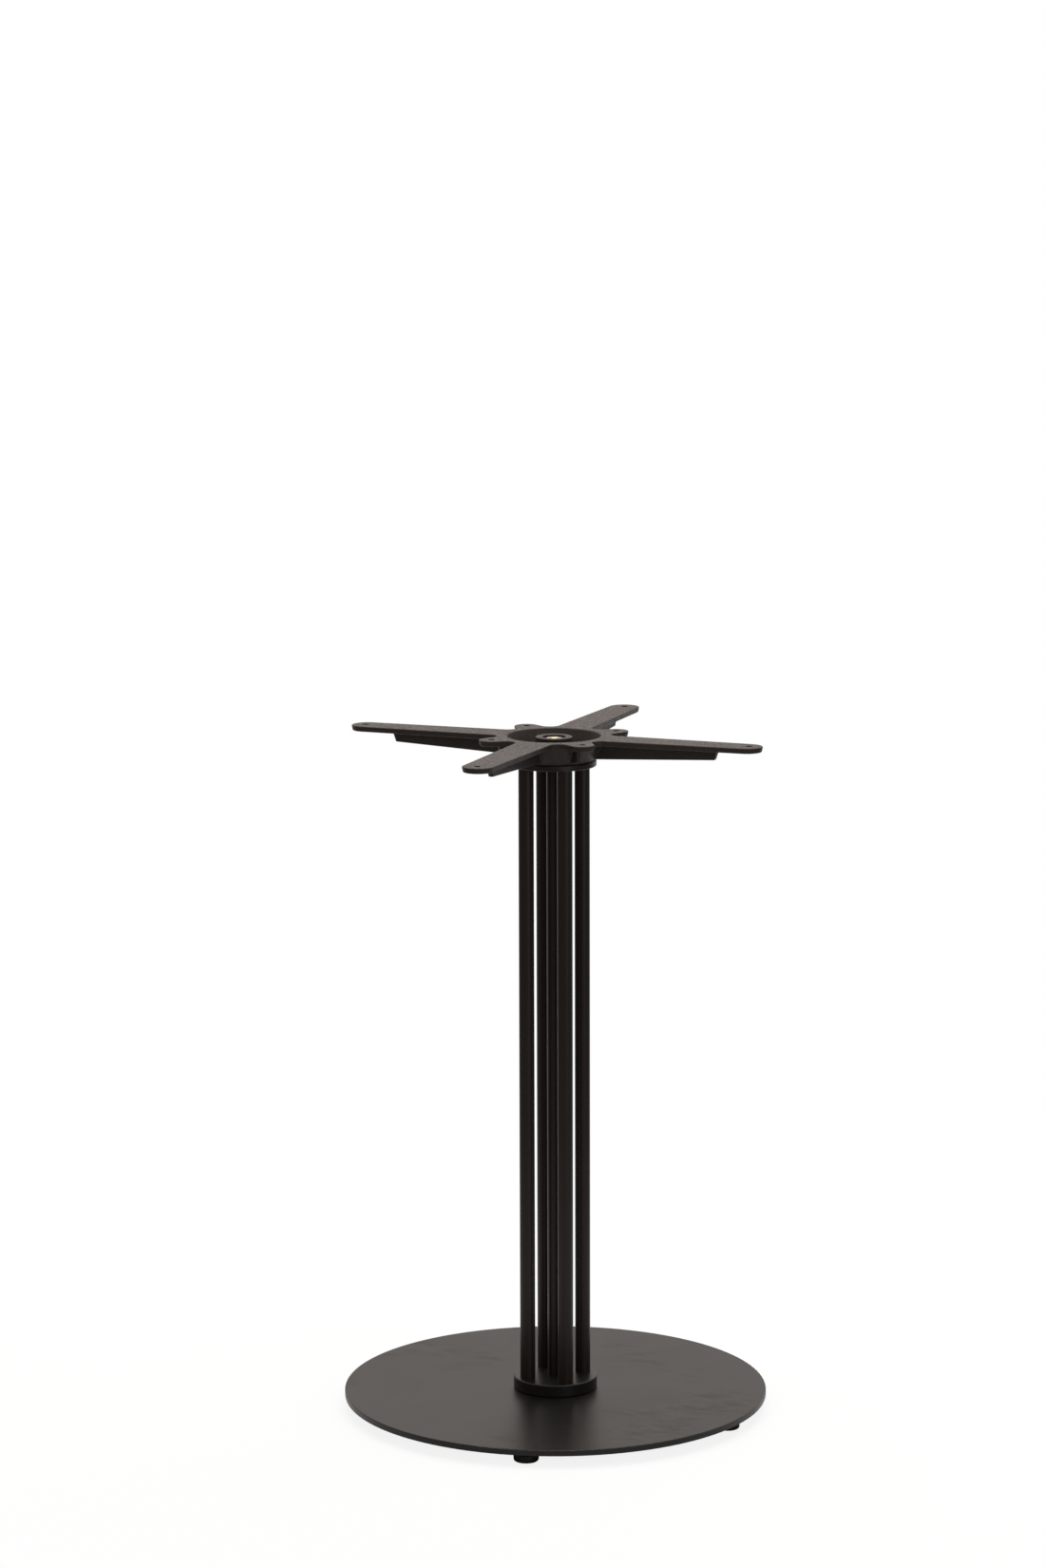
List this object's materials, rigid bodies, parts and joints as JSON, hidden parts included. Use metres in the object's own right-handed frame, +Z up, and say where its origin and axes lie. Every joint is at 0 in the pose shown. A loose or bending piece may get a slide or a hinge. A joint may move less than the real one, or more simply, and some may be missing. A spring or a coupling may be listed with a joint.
{
  "type": "round table base",
  "caption": "Pedestal table base: flat round steel foot on levelling pads, a column of slim tubes on a tie rod and a cast spider with arms and lugs that screw to a table top.",
  "frame": {"origin": "on the floor, on the column's axis, at the bottom centre of the part", "axes": "+Z up along the column, +X and +Y along two of the spider's arms"},
  "size_m": [0.4526, 0.4526, 0.715],
  "materials": {
    "black_powder_coat": "fine satin black powder coat on steel",
    "black_casting": "grainy casting under a satin black powder coat",
    "bright_zinc": "bright zinc-plated steel",
    "yellow_zinc": "yellow-passivated zinc-plated steel",
    "black_plastic": "matte black moulded plastic"
  },
  "bodies": {
    "stand": {"base_plate": "black_powder_coat", "lower_collar": "black_powder_coat", "outer_tube_1": "black_powder_coat", "outer_tube_2": "black_powder_coat", "outer_tube_3": "black_powder_coat", "outer_tube_4": "black_powder_coat", "centre_tube": "black_powder_coat", "upper_collar": "black_powder_coat", "top_spider": "black_casting", "tie_rod": "yellow_zinc", "top_washer": "bright_zinc", "top_nut": "bright_zinc", "bottom_washer": "bright_zinc", "bottom_nut": "bright_zinc"},
    "foot_1": {"foot_pad_1": "black_plastic", "foot_stud_1": "bright_zinc"},
    "foot_2": {"foot_pad_2": "black_plastic", "foot_stud_2": "bright_zinc"},
    "foot_3": {"foot_pad_3": "black_plastic", "foot_stud_3": "bright_zinc"},
    "foot_4": {"foot_pad_4": "black_plastic", "foot_stud_4": "bright_zinc"},
    "foot_5": {"foot_pad_5": "black_plastic", "foot_stud_5": "bright_zinc"}
  },
  "joints": [
    {"name": "foot_1_level", "type": "slide", "parent": "stand", "child": "foot_1", "axis": [0, 0, -1], "range_m": [0, 0.003]},
    {"name": "foot_2_level", "type": "slide", "parent": "stand", "child": "foot_2", "axis": [0, 0, -1], "range_m": [0, 0.003]},
    {"name": "foot_3_level", "type": "slide", "parent": "stand", "child": "foot_3", "axis": [0, 0, -1], "range_m": [0, 0.003]},
    {"name": "foot_4_level", "type": "slide", "parent": "stand", "child": "foot_4", "axis": [0, 0, -1], "range_m": [0, 0.003]},
    {"name": "foot_5_level", "type": "slide", "parent": "stand", "child": "foot_5", "axis": [0, 0, -1], "range_m": [0, 0.003]}
  ]
}
